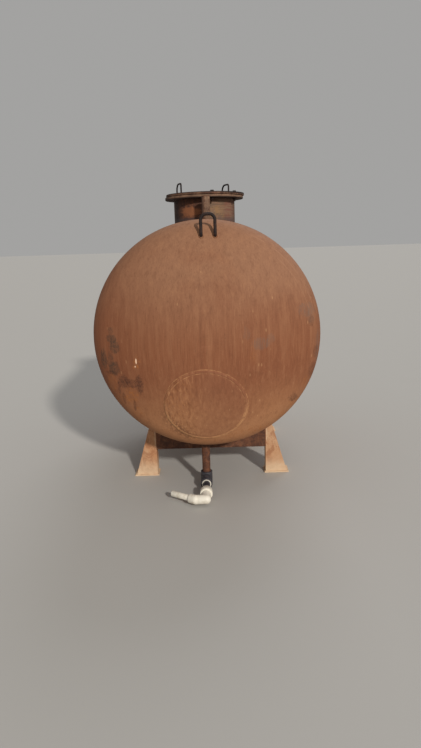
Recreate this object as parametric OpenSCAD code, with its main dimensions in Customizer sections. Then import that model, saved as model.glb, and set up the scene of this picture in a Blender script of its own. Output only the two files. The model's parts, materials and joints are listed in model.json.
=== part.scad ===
// Horizontal pressure tank on two saddles: a short rolled shell with dished ends, a bolted
// manhole on top, a vent stub, lifting hooks and a drain line of steel and plastic fittings.
// X runs to the right, Y towards the back, Z up. The origin is on the floor, under the middle.

/* [Tank] */
// Outside diameter of the shell and of the dished ends
tank_d = 1500; // [1300:10:1700]
// Wall of the shell and of the dished ends
wall_t = 6; // [4:0.5:12]
// Length of the rolled shell, from seam to seam
shell_len = 1500; // [1440:10:2400]
// Height of the tank's underside above the floor
under_z = 335; // [270:5:500]
// Crown radius of a dished end, outside
crown_r = 1200; // [1150:10:1500]
// Knuckle radius of a dished end, outside
knuckle_r = 231; // [200:1:260]
// Straight skirt of a dished end
skirt_len = 25; // [10:1:60]

/* [Welds] */
// Width of a butt weld's bead
bead_w = 16; // [8:1:24]
// Height of a butt weld's bead above the plate
bead_h = 3; // [1.5:0.5:5]
// Height of a butt weld's bead at its two edges
bead_toe = 0.5; // [0.2:0.1:1]
// Angle of the long seam, from the top towards the right
seam_angle = 62; // [45:1:75]
// Leg of the fillet weld round the manhole neck, the vent, the drain and the hooks
fillet_w = 8; // [4:0.5:12]

/* [Patch] */
// Radius of the round plate that is lapped over the lower part of the front end
patch_r = 252; // [180:1:256]
// Thickness of the patch plate
patch_t = 6; // [3:0.5:10]
// Distance of the patch centre below the tank's axis
patch_drop = 412; // [330:2:416]
// Width of the bead round the patch
patch_bead_w = 11; // [6:0.5:18]
// How far that bead stands proud of the plate
patch_bead_h = 2; // [0.5:0.5:4]
// Turn of the patch centre about the tank's axis, from straight below to the left
patch_turn = 2.3; // [-10:0.1:10]

/* [Manhole] */
// Outside diameter of the manhole neck
neck_d = 460; // [380:2:480]
// Wall of the manhole neck
neck_t = 8; // [5:0.5:14]
// Height of the neck's flange face above the top of the shell
neck_h = 190; // [130:5:300]
// How far the flange and the lid stand out past the neck
flange_lip = 65; // [58:1:90]
// Thickness of the flange
flange_t = 20; // [12:1:30]
// Distance of the bolt circle from the edge of the flange
bolt_edge = 31; // [22:1:34]
// Number of holes in the flange and in the lid
hole_count = 8; // [4:4:12]
// Diameter of a bolt hole
hole_d = 18; // [17:0.5:22]
// Angle of the first bolt hole, from the right towards the back
hole_start = -76.5; // [-90:0.5:-60]
// Thickness of the gasket
gasket_t = 3; // [1:0.5:6]
// Clearance between the gasket and the bolt holes
gasket_gap = 5; // [1:0.5:8]
// Thickness of the lid
lid_t = 18; // [10:1:30]
// How far the lid's outline sits off centre, to the right
lid_shift = 8; // [0:1:10]

/* [Lid bolts] */
// Diameter of a bolt's shank
bolt_d = 16; // [12:1:16]
// Width across the corners of a bolt's head and of its nut
bolt_hex = 27; // [22:0.5:30]
// Height of a bolt's head
bolt_head_h = 10; // [7:0.5:14]
// Height of a nut
nut_h = 13; // [9:0.5:16]
// How far the thread stands out below the nut
bolt_tail = 12; // [3:1:30]

/* [Lid handles] */
// Diameter of a lid handle's rod
grip_d = 12; // [8:0.5:18]
// Length of a lid handle, outside, along the tank
grip_len = 120; // [90:2:180]
// Height of the left handle above the lid
grip_left_h = 86; // [60:1:110]
// Height of the right handle above the lid
grip_right_h = 69; // [50:1:110]
// Inside radius of a lid handle's bends
grip_bend = 14; // [8:1:22]
// Distance of the left handle from the edge of the flange
grip_left_in = 107; // [95:1:145]
// Distance of the right handle from the edge of the flange
grip_right_in = 132; // [95:1:155]
// Turn of the left handle from the tank's axis, seen from above
grip_left_turn = 17; // [0:1:40]
// Turn of the right handle from the tank's axis, seen from above
grip_right_turn = 22; // [0:1:40]

/* [Vent] */
// Outside diameter of the vent pipe
vent_d = 57; // [40:1:70]
// Wall of the vent pipe
vent_t = 3.5; // [2:0.5:6]
// Clearance between the vent pipe and the edge of the flange behind it
vent_gap = 21.5; // [16:0.5:120]
// Offset of the vent pipe to the right of the tank's axis
vent_x = 15; // [-20:1:40]
// Height of the vent pipe above the top of the shell
vent_h = 175; // [80:5:260]
// Thickness of the disc that closes the vent pipe
vent_cap_t = 5; // [3:0.5:12]

/* [Lifting hooks] */
// Diameter of a hook's rod
hook_d = 20; // [14:0.5:26]
// Outside width of a hook
hook_w = 106; // [90:1:150]
// Height of a hook's top above the top of the tank
hook_rise = 33; // [10:1:90]
// Depth of a hook's feet below the top of the tank
hook_drop = 110; // [90:2:120]
// Offset of the front hook to the right of the tank's axis
hook_x = 30; // [-60:2:60]
// Inside radius of a hook's upper bends
hook_bend = 24; // [14:1:30]
// Inside radius of the bends that turn the feet in to the end
hook_toe_bend = 12; // [8:1:20]
// Distance of the upright rods in front of the end's surface at the feet
hook_stand = 10; // [8:1:38]

/* [Saddles] */
// Distance of a saddle's outer face from the seam of its end
saddle_in = 225; // [150:5:350]
// Depth of a saddle along the tank
saddle_depth = 100; // [60:5:160]
// Plate thickness of the legs and cross beams
saddle_t = 10; // [6:0.5:16]
// Distance of a leg's upright inner edge from the middle
leg_in = 404; // [360:2:430]
// Width of a leg at its foot
leg_foot_w = 160; // [130:2:220]
// How far a leg's outer edge leans in for each unit of height
leg_lean = 0.297; // [0.2:0.001:0.34]
// Height of the cross beam's underside
beam_z = 205; // [120:5:240]
// Thickness of the wear plate between a saddle and the shell
pad_t = 8; // [4:0.5:16]
// Width of the wear plate along the tank
pad_w = 150; // [110:5:240]
// Angle that the wear plate covers to each side of the bottom
pad_angle = 40; // [37:0.5:60]
// Thickness of a foot plate
foot_t = 10; // [6:1:20]
// How far a foot plate stands out past the leg
foot_lip = 10; // [0:1:30]

/* [Drain] */
// Outside diameter of the steel drain stub
drain_d = 57; // [40:1:70]
// Wall of the drain stub
drain_t = 3.5; // [2:0.5:6]
// Distance of the drain stub's axis from the front seam
drain_in = 45; // [45:1:80]
// Offset of the drain stub to the left of the tank's axis
drain_x = 35; // [-30:1:60]
// Height of the drain line's axis above the floor
drain_axis_z = 48; // [46:1:80]
// Outside diameter of the grey elbow
grey_d = 82; // [74:1:88]
// Length of the grey elbow's upper arm, from the line's axis
grey_top = 52; // [48:1:90]
// Length of the grey elbow's front arm, from the stub's axis
grey_front = 115; // [60:1:130]
// How far the round corner of a fitting stands proud of its arms
corner_rise = 0.5; // [0.3:0.1:2]
// Outside diameter of the run pipe
run_d = 50; // [44:1:52]
// Wall of the plastic pipes
pipe_t = 3; // [2:0.5:5]
// Distance of the white elbow's outlet axis in front of the front seam
run_reach = 318; // [290:2:350]
// Length of the lip of the white bush between the run pipe and the grey elbow
bush_lip = 5; // [3:1:30]
// Wall of that lip round the run pipe
bush_t = 7.5; // [4:0.5:12]
// Wall of the white fittings round the run pipe
socket_t = 6; // [3:0.5:8]
// Length of the white elbow's arm towards the tank
elbow_in = 130; // [100:1:150]
// Length of the white elbow's arm to the left
elbow_out = 55; // [45:1:80]
// Height of the collar at the white elbow's inlet
collar_rise = 11; // [3:1:12]
// Length of that collar
collar_len = 52; // [20:1:80]
// Distance of the slight bend's corner past the white elbow
slight_in = 17; // [10:1:60]
// Turn of the slight bend, from the left towards the back
slight_turn = 34; // [10:1:45]
// Length of the slight bend's far arm, past its corner
slight_out = 40; // [34:1:60]
// Outside diameter of the last pipe
outlet_d = 40; // [36:1:44]
// Outside diameter of the last pipe where it is turned down for its socket
outlet_seat_d = 38; // [37:0.5:39]
// Length of the last pipe past its socket
outlet_len = 148; // [60:2:180]
// How far the turned-down stretch shows in front of the socket
seat_gap = 2; // [1:0.5:6]
// Step inside the slight bend that stops the last pipe
stop_step = 2; // [1:0.5:4]

/* [Hidden] */
$fn = 96;

rust = [0.56, 0.37, 0.27];
dark_rust = [0.36, 0.23, 0.17];
bare_weld = [0.48, 0.31, 0.22];
blackened = [0.16, 0.12, 0.10];
rubber = [0.10, 0.10, 0.10];
pale_rust = [0.66, 0.47, 0.34];
white_plastic = [0.86, 0.84, 0.79];
grey_plastic = [0.27, 0.27, 0.28];

tank_r = tank_d / 2;
axis_z = under_z + tank_r;
seam_y = shell_len / 2;
top_z = axis_z + tank_r;
eps = 1;
smooth = 360;

// Radius of a butt bead's crown, from its width and its rise
bead_rise = bead_h - bead_toe;
bead_r = (bead_w * bead_w / 4 + bead_rise * bead_rise) / (2 * bead_rise);

// A dished end: its crown and knuckle arcs meet in a tangent at knuckle_angle from the axis
knuckle_x = tank_r - knuckle_r;
knuckle_angle = asin(knuckle_x / (crown_r - knuckle_r));
dish_depth = crown_r - (crown_r - knuckle_r) * cos(knuckle_angle);
crown_y = seam_y + skirt_len + dish_depth - crown_r;

// A hook: its feet stand on the crown, and its rods stand clear of it
hook_foot = tank_r - hook_drop;
hook_top = tank_r + hook_rise;
hook_y = crown_y + sqrt(crown_r * crown_r - hook_foot * hook_foot) + hook_stand;

// The manhole stack, from the bottom up
flange_top = top_z + neck_h;
flange_z = flange_top - flange_t;
lid_z = flange_top + gasket_t;
lid_top = lid_z + lid_t;
neck_bore = neck_d - 2 * neck_t;
flange_d = neck_d + 2 * flange_lip;
bolt_circle_d = flange_d - 2 * bolt_edge;
grip_left_x = grip_left_in - flange_d / 2;
grip_right_x = flange_d / 2 - grip_right_in;
vent_y = flange_d / 2 + vent_gap + vent_d / 2;
used_holes = [0, 1, 3, 5];

// Radius of the saddles' curved top edges, and their place along the tank
cradle_r = tank_r + pad_t;
saddle_y = seam_y - saddle_in;

// The drain line
drain_y = seam_y - drain_in;
run_y = seam_y + run_reach;
slight_x = drain_x + elbow_out + slight_in;
white_d = run_d + 2 * socket_t;
run_bore = run_d - 2 * pipe_t;
outlet_bore = outlet_d - 2 * pipe_t;

// A fitting's seat stops short of its corner by the seat's own radius and a wall
function seat_stop(fit) = fit / 2 + pipe_t;

// A solid cylinder along Y, centred on the tank's axis
module along_tank(radius, length) {
    translate([0, 0, axis_z])
        rotate([90, 0, 0])
            cylinder(r = radius, h = length, center = true, $fn = smooth);
}

// Half section of a solid dished end, its outer face moved out by grow, with a skirt of some length
module dish_section(grow, back) {
    wedge = 2 * crown_r;
    corner = 3 * knuckle_r;
    translate([0, dish_depth - crown_r])
        intersection() {
            circle(r = crown_r + grow, $fn = smooth);
            polygon([[0, 0], [wedge * tan(knuckle_angle), wedge], [0, wedge]]);
        }
    translate([knuckle_x, 0])
        intersection() {
            circle(r = knuckle_r + grow, $fn = smooth);
            polygon([[0, 0], [corner, 0], [corner, corner],
                [corner * sin(knuckle_angle), corner * cos(knuckle_angle)]]);
        }
    translate([0, -back])
        square([tank_r + grow, back]);
}

// That solid in its place, on the front end when side is 1 and on the rear end when it is -1
module dish(side, grow, back = skirt_len) {
    translate([0, -side * (seam_y + skirt_len), axis_z])
        rotate([90 * side, 0, 0])
            rotate_extrude($fn = smooth)
                intersection() {
                    dish_section(grow, back);
                    translate([0, -back])
                        square([tank_d, tank_d]);
                }
}

module dished_end(side) {
    color(rust)
        difference() {
            dish(side, 0);
            dish(side, -wall_t, skirt_len + eps);
        }
}

module shell() {
    color(rust)
        difference() {
            along_tank(tank_r, shell_len);
            along_tank(tank_r - wall_t, shell_len + 2 * eps);
            translate([0, 0, axis_z])
                cylinder(d = neck_bore, h = tank_r + eps);
            translate([vent_x, -vent_y, axis_z])
                cylinder(d = vent_d - 2 * vent_t, h = tank_r + eps);
            translate([-drain_x, -drain_y, axis_z - tank_r - eps])
                cylinder(d = drain_d - 2 * drain_t, h = tank_r);
        }
}

// Section of a weld bead: a low crown over a flat plate
module bead_section() {
    intersection() {
        translate([bead_h - bead_r, 0])
            circle(r = bead_r, $fn = smooth);
        translate([0, -bead_w / 2])
            square([bead_h, bead_w]);
    }
}

module girth_weld(side) {
    color(bare_weld)
        translate([0, -side * seam_y, axis_z])
            rotate([90, 0, 0])
                rotate_extrude($fn = smooth)
                    translate([tank_r, 0])
                        bead_section();
}

module long_seam_weld() {
    color(bare_weld)
        translate([0, 0, axis_z])
            rotate([90, seam_angle - 90, 0])
                linear_extrude(height = shell_len - bead_w, center = true)
                    translate([tank_r, 0])
                        bead_section();
}

// A ring or disc that lies on the front end's crown, turned about its own middle
module crown_ring(inner, outer, thick) {
    wedge = 2 * crown_r;
    from = asin(inner / crown_r);
    to = asin(outer / crown_r);
    translate([0, -crown_y, axis_z])
        rotate([0, patch_turn, 0])
            rotate([90 + asin(patch_drop / crown_r), 0, 0])
                rotate_extrude($fn = smooth)
                    intersection() {
                        difference() {
                            circle(r = crown_r + thick, $fn = smooth);
                            circle(r = crown_r, $fn = smooth);
                        }
                        polygon([[0, 0], [wedge * sin(from), wedge * cos(from)],
                            [wedge * sin(to), wedge * cos(to)]]);
                    }
}

module patch_plate() {
    color(rust)
        crown_ring(0, patch_r, patch_t);
}

module patch_weld() {
    color(bare_weld)
        crown_ring(patch_r, patch_r + patch_bead_w, patch_t + patch_bead_h);
}

// A quarter bend of a round bar, from +Z at the origin over to +X
module bar_bend(diameter, bend_r) {
    translate([bend_r, 0, 0])
        rotate([90, 0, 0])
            rotate([0, 0, 90])
                rotate_extrude(angle = 90)
                    translate([bend_r, 0])
                        circle(d = diameter);
}

// A bar bent to an upside-down U in the XZ plane, with its feet at z = 0
module bar_u(diameter, width, height, bend_in) {
    bend_r = bend_in + diameter / 2;
    leg_x = width / 2 - diameter / 2;
    leg_h = height - diameter / 2 - bend_r;
    for (side = [-1, 1]) {
        translate([side * leg_x, 0, 0])
            cylinder(d = diameter, h = leg_h);
        translate([side * leg_x, 0, leg_h])
            rotate([0, 0, side > 0 ? 180 : 0])
                bar_bend(diameter, bend_r);
    }
    translate([bend_r - leg_x, 0, leg_h + bend_r])
        rotate([0, 90, 0])
            cylinder(d = diameter, h = 2 * (leg_x - bend_r));
}

// A hook in front of an end: an upside-down U whose feet turn in and are welded to the dish
module lifting_hook(side) {
    toe_r = hook_toe_bend + hook_d / 2;
    foot_x = hook_w / 2 - hook_d / 2;
    color(blackened)
        difference() {
            rotate([0, 0, side > 0 ? 0 : 180])
                translate([hook_x, -hook_y, axis_z + hook_foot]) {
                    translate([0, 0, toe_r])
                        bar_u(hook_d, hook_w, hook_top - hook_foot - toe_r, hook_bend);
                    for (leg = [-1, 1])
                        translate([leg * foot_x, 0, 0]) {
                            translate([0, 0, toe_r])
                                rotate([180, 0, 90])
                                    bar_bend(hook_d, toe_r);
                            translate([0, toe_r, 0])
                                rotate([-90, 0, 0])
                                    cylinder(d = hook_d, h = knuckle_r / 2);
                        }
                }
            dish(side, 0);
        }
}

// A round tube that stands on the top of the shell, cut to the shell's curve
module standing_tube(diameter, bore, high) {
    difference() {
        cylinder(d = diameter, h = high);
        translate([0, 0, -eps])
            cylinder(d = bore, h = high + 2 * eps);
    }
}

module manhole_neck() {
    color(dark_rust)
        difference() {
            translate([0, 0, axis_z])
                standing_tube(neck_d, neck_bore, flange_top - axis_z);
            along_tank(tank_r, shell_len);
        }
}

// A fillet weld round a tube that stands on the shell when up is 1, or hangs from it when -1
module saddle_weld(diameter, x, y, up) {
    color(bare_weld)
        intersection() {
            difference() {
                along_tank(tank_r + fillet_w, shell_len);
                along_tank(tank_r, shell_len + 2 * eps);
            }
            translate([x, y, up > 0 ? axis_z : axis_z - tank_d])
                standing_tube(diameter + 2 * fillet_w, diameter, tank_d);
        }
}

module hole_ring(low, high) {
    for (k = [0 : hole_count - 1])
        rotate([0, 0, hole_start + k * 360 / hole_count])
            translate([bolt_circle_d / 2, 0, low])
                cylinder(d = hole_d, h = high - low);
}

module manhole_flange() {
    color(dark_rust)
        difference() {
            translate([0, 0, flange_z])
                cylinder(d = flange_d, h = flange_t);
            translate([0, 0, flange_z - eps])
                cylinder(d = neck_d, h = flange_t + 2 * eps);
            hole_ring(flange_z - eps, flange_top + eps);
        }
}

module gasket() {
    color(rubber)
        translate([0, 0, flange_top])
            standing_tube(bolt_circle_d - hole_d - 2 * gasket_gap, neck_bore, gasket_t);
}

module manhole_lid() {
    color(dark_rust)
        difference() {
            translate([lid_shift, 0, lid_z])
                cylinder(d = flange_d, h = lid_t);
            hole_ring(lid_z - eps, lid_top + eps);
        }
}

module lid_bolt(hole) {
    color(blackened)
        rotate([0, 0, hole_start + hole * 360 / hole_count])
            translate([bolt_circle_d / 2, 0, 0]) {
                translate([0, 0, lid_top])
                    cylinder(d = bolt_hex, h = bolt_head_h, $fn = 6);
                translate([0, 0, flange_z - nut_h - bolt_tail])
                    cylinder(d = bolt_d, h = lid_top - flange_z + nut_h + bolt_tail);
                translate([0, 0, flange_z - nut_h])
                    cylinder(d = bolt_hex, h = nut_h, $fn = 6);
            }
}

module lid_handle(x, height, turn) {
    color(blackened)
        translate([x, 0, lid_top])
            rotate([0, 0, 90 + turn])
                bar_u(grip_d, grip_len, height, grip_bend);
}

module vent_pipe() {
    color(dark_rust)
        difference() {
            translate([vent_x, -vent_y, axis_z])
                standing_tube(vent_d, vent_d - 2 * vent_t, tank_r + vent_h - vent_cap_t);
            along_tank(tank_r, shell_len);
        }
}

module vent_cap() {
    color(dark_rust)
        translate([vent_x, -vent_y, top_z + vent_h - vent_cap_t])
            cylinder(d = vent_d, h = vent_cap_t);
}

// Outline of a leg, to the right of the middle, under the wear plate
module leg_outline() {
    leg_out = leg_in + leg_foot_w;
    difference() {
        polygon([[leg_in, foot_t], [leg_out - leg_lean * foot_t, foot_t],
            [leg_in, leg_foot_w / leg_lean]]);
        translate([0, axis_z])
            circle(r = cradle_r, $fn = smooth);
    }
}

// The hollow of a leg: its outline less the plate on both edges
module leg_pocket() {
    slant_t = saddle_t * sqrt(1 + leg_lean * leg_lean);
    pocket_in = leg_in + saddle_t;
    pocket_w = leg_foot_w - saddle_t - slant_t;
    polygon([[pocket_in, -eps], [pocket_in + pocket_w + leg_lean * eps, -eps],
        [pocket_in, pocket_w / leg_lean]]);
}

// A flat shape in the XZ plane, made into a plate between two distances from the middle of the tank
module across(side, near, far) {
    translate([0, side > 0 ? -near : far, 0])
        rotate([90, 0, 0])
            linear_extrude(height = far - near)
                children();
}

// A leg: a tapered channel of folded plate with its web to the outside
module leg(side, hand) {
    color(pale_rust)
        mirror([hand > 0 ? 0 : 1, 0, 0])
            difference() {
                across(side, saddle_y - saddle_depth, saddle_y)
                    leg_outline();
                across(side, saddle_y - saddle_depth - eps, saddle_y - saddle_t)
                    leg_pocket();
            }
}

module foot(side, hand) {
    color(pale_rust)
        mirror([hand > 0 ? 0 : 1, 0, 0])
            across(side, saddle_y - saddle_depth - foot_lip, saddle_y + foot_lip)
                translate([leg_in - foot_lip, 0])
                    square([leg_foot_w + 2 * foot_lip, foot_t]);
}

// A cross beam: a web under the wear plate, with a flange along its lower edge
module cross_beam(side) {
    web_z = beam_z + saddle_t;
    web_top = axis_z - sqrt(cradle_r * cradle_r - leg_in * leg_in);
    color(pale_rust) {
        across(side, saddle_y - saddle_t, saddle_y)
            difference() {
                translate([-leg_in, web_z])
                    square([2 * leg_in, web_top - web_z]);
                translate([0, axis_z])
                    circle(r = cradle_r, $fn = smooth);
            }
        across(side, saddle_y - saddle_depth, saddle_y)
            translate([-leg_in, beam_z])
                square([2 * leg_in, saddle_t]);
    }
}

module wear_plate(side) {
    fan = 2 * cradle_r;
    pad_middle = saddle_y - saddle_depth / 2;
    color(rust)
        across(side, pad_middle - pad_w / 2, pad_middle + pad_w / 2)
            translate([0, axis_z])
                intersection() {
                    difference() {
                        circle(r = cradle_r, $fn = smooth);
                        circle(r = tank_r, $fn = smooth);
                    }
                    polygon([[0, 0], [-fan * tan(pad_angle), -fan], [fan * tan(pad_angle), -fan]]);
                }
}

module drain_stub() {
    low_z = drain_axis_z + seat_stop(drain_d);
    color(dark_rust)
        difference() {
            translate([-drain_x, -drain_y, low_z])
                standing_tube(drain_d, drain_d - 2 * drain_t, axis_z - low_z);
            along_tank(tank_r, shell_len);
        }
}

// The outside of a fitting: an arm back along -Z and an arm turned from +Z towards +X
module corner_outside(diameter, turn, arm_in, arm_out) {
    sphere(d = diameter + 2 * corner_rise);
    translate([0, 0, -arm_in])
        cylinder(d = diameter, h = arm_in);
    rotate([0, turn, 0])
        cylinder(d = diameter, h = arm_out);
}

// A fitting's arm along +Z, hollowed out: its bore, and the seat for what is pushed in
module arm_hollow(bore, fit, arm) {
    cylinder(d = bore, h = arm);
    translate([0, 0, seat_stop(fit)])
        cylinder(d = fit, h = arm + eps - seat_stop(fit));
}

// A square elbow with a seat in both arms
module square_elbow(diameter, fit_in, fit_out, bore, arm_in, arm_out) {
    difference() {
        corner_outside(diameter, 90, arm_in, arm_out);
        sphere(d = bore + 2 * corner_rise);
        rotate([180, 0, 0])
            arm_hollow(bore, fit_in, arm_in);
        rotate([0, 90, 0])
            arm_hollow(bore, fit_out, arm_out);
    }
}

module drain_grey_elbow() {
    color(grey_plastic)
        translate([-drain_x, -drain_y, drain_axis_z])
            rotate([180, 0, -90])
                square_elbow(grey_d, drain_d, drain_d, run_bore, grey_top, grey_front);
}

// A tube along -Y in the drain line, between two distances from the middle of the tank
module run_tube(diameter, bore, near, far) {
    translate([-drain_x, -near, drain_axis_z])
        rotate([90, 0, 0])
            standing_tube(diameter, bore, far - near);
}

// The bush between the run pipe and the grey elbow: a ring in the socket and a lip before it
module drain_bush() {
    lip_y = drain_y + grey_front;
    color(white_plastic) {
        run_tube(drain_d, run_d, drain_y + seat_stop(drain_d), lip_y);
        run_tube(run_d + 2 * bush_t, run_d, lip_y, lip_y + bush_lip);
    }
}

module drain_run_pipe() {
    color(grey_plastic)
        run_tube(run_d, run_bore, drain_y + seat_stop(drain_d), run_y - seat_stop(run_d));
}

module drain_white_elbow() {
    collar_y = run_y - elbow_in;
    color(white_plastic) {
        translate([-drain_x, -run_y, drain_axis_z])
            rotate([-90, 0, 180])
                square_elbow(white_d, run_d, run_d, run_bore, elbow_in, elbow_out);
        run_tube(white_d + 2 * collar_rise, white_d, collar_y, collar_y + collar_len);
    }
}

// The slight bend that takes the line towards the back: a spigot in the elbow, a corner, a socket
module drain_slight_bend() {
    spigot = slight_in + elbow_out - seat_stop(run_d);
    color(white_plastic)
        translate([-slight_x, -run_y, drain_axis_z])
            rotate([-90, 0, 90])
                difference() {
                    union() {
                        corner_outside(white_d, slight_turn, slight_in, slight_out);
                        translate([0, 0, -spigot])
                            cylinder(d = run_d, h = spigot);
                    }
                    sphere(d = run_bore + 2 * corner_rise);
                    translate([0, 0, -spigot - eps])
                        cylinder(d = run_bore, h = spigot + eps);
                    rotate([0, slight_turn, 0])
                        arm_hollow(outlet_bore - 2 * stop_step, outlet_seat_d, slight_out);
                }
}

// The last pipe, straight, from its seat in the slight bend towards the back
module drain_outlet_pipe() {
    seat_end = slight_out + seat_gap;
    seat_start = seat_stop(outlet_seat_d);
    color(white_plastic)
        translate([-slight_x, -run_y, drain_axis_z])
            rotate([-90, 0, 90])
                rotate([0, slight_turn, 0]) {
                    translate([0, 0, seat_start])
                        standing_tube(outlet_seat_d, outlet_bore, seat_end - seat_start);
                    translate([0, 0, seat_end])
                        standing_tube(outlet_d, outlet_bore, outlet_len - seat_gap);
                }
}

shell();
dished_end(1);  // front_head
dished_end(-1);  // rear_head
girth_weld(1);  // front_girth_weld
girth_weld(-1);  // rear_girth_weld
long_seam_weld();
patch_plate();
patch_weld();
lifting_hook(1);  // lifting_hook_front
lifting_hook(-1);  // lifting_hook_rear
manhole_neck();
saddle_weld(neck_d, 0, 0, 1);  // neck_weld
manhole_flange();
gasket();
manhole_lid();
lid_handle(grip_left_x, grip_left_h, grip_left_turn);  // lid_handle_left
lid_handle(grip_right_x, grip_right_h, grip_right_turn);  // lid_handle_right
lid_bolt(used_holes[0]);  // lid_bolt_1
lid_bolt(used_holes[1]);  // lid_bolt_2
lid_bolt(used_holes[2]);  // lid_bolt_3
lid_bolt(used_holes[3]);  // lid_bolt_4
vent_pipe();
saddle_weld(vent_d, vent_x, -vent_y, 1);  // vent_weld
vent_cap();
drain_stub();
saddle_weld(drain_d, -drain_x, -drain_y, -1);  // drain_weld
drain_grey_elbow();
drain_bush();
drain_run_pipe();
drain_white_elbow();
drain_slight_bend();
drain_outlet_pipe();
leg(1, -1);  // front_left_leg
leg(1, 1);  // front_right_leg
cross_beam(1);  // front_cross_beam
wear_plate(1);  // front_wear_plate
leg(-1, -1);  // rear_left_leg
leg(-1, 1);  // rear_right_leg
cross_beam(-1);  // rear_cross_beam
wear_plate(-1);  // rear_wear_plate
foot(1, -1);  // front_left_foot
foot(1, 1);  // front_right_foot
foot(-1, -1);  // rear_left_foot
foot(-1, 1);  // rear_right_foot
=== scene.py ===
# Looks of the horizontal pressure tank: rusted steel, weld beads, bolts and the plastic drain line
import json
import math
import random

import bpy
from mathutils import Matrix, Vector


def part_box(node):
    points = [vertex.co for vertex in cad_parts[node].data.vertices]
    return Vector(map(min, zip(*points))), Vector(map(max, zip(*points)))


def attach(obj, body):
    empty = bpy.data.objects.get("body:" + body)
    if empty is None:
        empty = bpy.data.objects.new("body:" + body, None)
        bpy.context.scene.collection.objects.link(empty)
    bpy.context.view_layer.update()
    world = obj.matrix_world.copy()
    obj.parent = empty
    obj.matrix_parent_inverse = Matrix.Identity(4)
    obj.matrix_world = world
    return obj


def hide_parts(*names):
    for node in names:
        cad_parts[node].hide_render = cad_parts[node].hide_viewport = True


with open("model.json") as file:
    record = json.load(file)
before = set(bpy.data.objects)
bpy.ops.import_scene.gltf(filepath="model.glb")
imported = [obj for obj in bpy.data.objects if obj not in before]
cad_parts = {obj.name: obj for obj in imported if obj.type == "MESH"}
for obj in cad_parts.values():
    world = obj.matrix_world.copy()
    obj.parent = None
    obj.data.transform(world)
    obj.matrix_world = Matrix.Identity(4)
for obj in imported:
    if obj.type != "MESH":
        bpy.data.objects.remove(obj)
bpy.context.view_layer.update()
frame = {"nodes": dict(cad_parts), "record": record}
nodes = frame["nodes"]
random.seed(7)
bpy.context.scene.view_settings.view_transform = "Standard"  # colours show as they are mixed
print("stage: frame loaded,", len(nodes), "nodes")


# The camera stands a little right of the tank's axis, at eye height, and leans slightly: metres and degrees
cameraPlace = dict(x=0.058, y=-4.568, height=1.693, yaw=-0.642, pitch=12.91, lean=1.80, focalPx=576.0)
photoLong = 748.0


def makeCamera(place):
    yaw, pitch, lean = (math.radians(place[k]) for k in ("yaw", "pitch", "lean"))
    ahead = Vector((math.sin(yaw) * math.cos(pitch), math.cos(yaw) * math.cos(pitch), -math.sin(pitch)))
    level = Vector((math.cos(yaw), -math.sin(yaw), 0.0))
    below = ahead.cross(level)
    right = math.cos(lean) * level + math.sin(lean) * below
    up = math.sin(lean) * level - math.cos(lean) * below
    data = bpy.data.cameras.new("photoCamera")
    data.lens = place["focalPx"] / photoLong * data.sensor_width
    camera = bpy.data.objects.new("photoCamera", data)
    turn = Matrix((right, up, -ahead)).transposed().to_4x4()
    camera.matrix_world = Matrix.Translation((place["x"], place["y"], place["height"])) @ turn
    bpy.context.collection.objects.link(camera)
    bpy.context.scene.camera = camera


makeCamera(cameraPlace)


# Facts of the shape: the tank's radius and axis, the dished end's crown, and the patch on it
shellLow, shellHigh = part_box("shell")
tankR = (shellHigh[0] - shellLow[0]) / 2
axisZ = (shellHigh[2] + shellLow[2]) / 2
crownR = 1.200
crownMiddle = Vector((0.0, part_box("front_head")[0][1] + crownR, axisZ))
patchMake = dict(radius=0.2580, drop=0.412, turn=2.3, width=0.0200, rise=0.0036, plate=0.0056)
patchHalf = math.asin(patchMake["radius"] / crownR)
patchDip = math.asin(patchMake["drop"] / crownR)
patchSwing = math.radians(patchMake["turn"])
patchAxis = Vector((-math.sin(patchDip) * math.sin(patchSwing), -math.cos(patchDip),
                    -math.sin(patchDip) * math.cos(patchSwing)))


# Shader writing: a Value is a socket that takes part in sums, and a Look is one material, whose x, y and z
# are places in metres
class Value:
    def __init__(self, look, socket):
        self.look = look
        self.socket = socket

    def calc(self, operation, *others):
        made = self.look.add("ShaderNodeMath", dict(operation=operation), dict(enumerate((self,) + others)))
        return self.look.out(made, 0)

    def __add__(self, other):
        return self.calc("ADD", other)

    def __sub__(self, other):
        return self.calc("SUBTRACT", other)

    def __mul__(self, other):
        return self.calc("MULTIPLY", other)

    def __truediv__(self, other):
        return self.calc("DIVIDE", other)

    def __rsub__(self, other):
        made = self.look.add("ShaderNodeMath", dict(operation="SUBTRACT"), {0: other, 1: self})
        return self.look.out(made, 0)

    __radd__ = __add__

    def distance(self):
        return self.calc("ABSOLUTE")

    def between(self, low, high):  # 0 below low, 1 above high, smooth on the way
        made = self.look.add("ShaderNodeMapRange", dict(interpolation_type="SMOOTHSTEP"),
                             {"Value": self, "From Min": low, "From Max": high})
        return self.look.out(made, "Result")

    def near(self, middle, width):  # 1 at the middle, 0 from that width on
        return 1.0 - (self - middle).distance().between(0.0, width)


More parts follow.
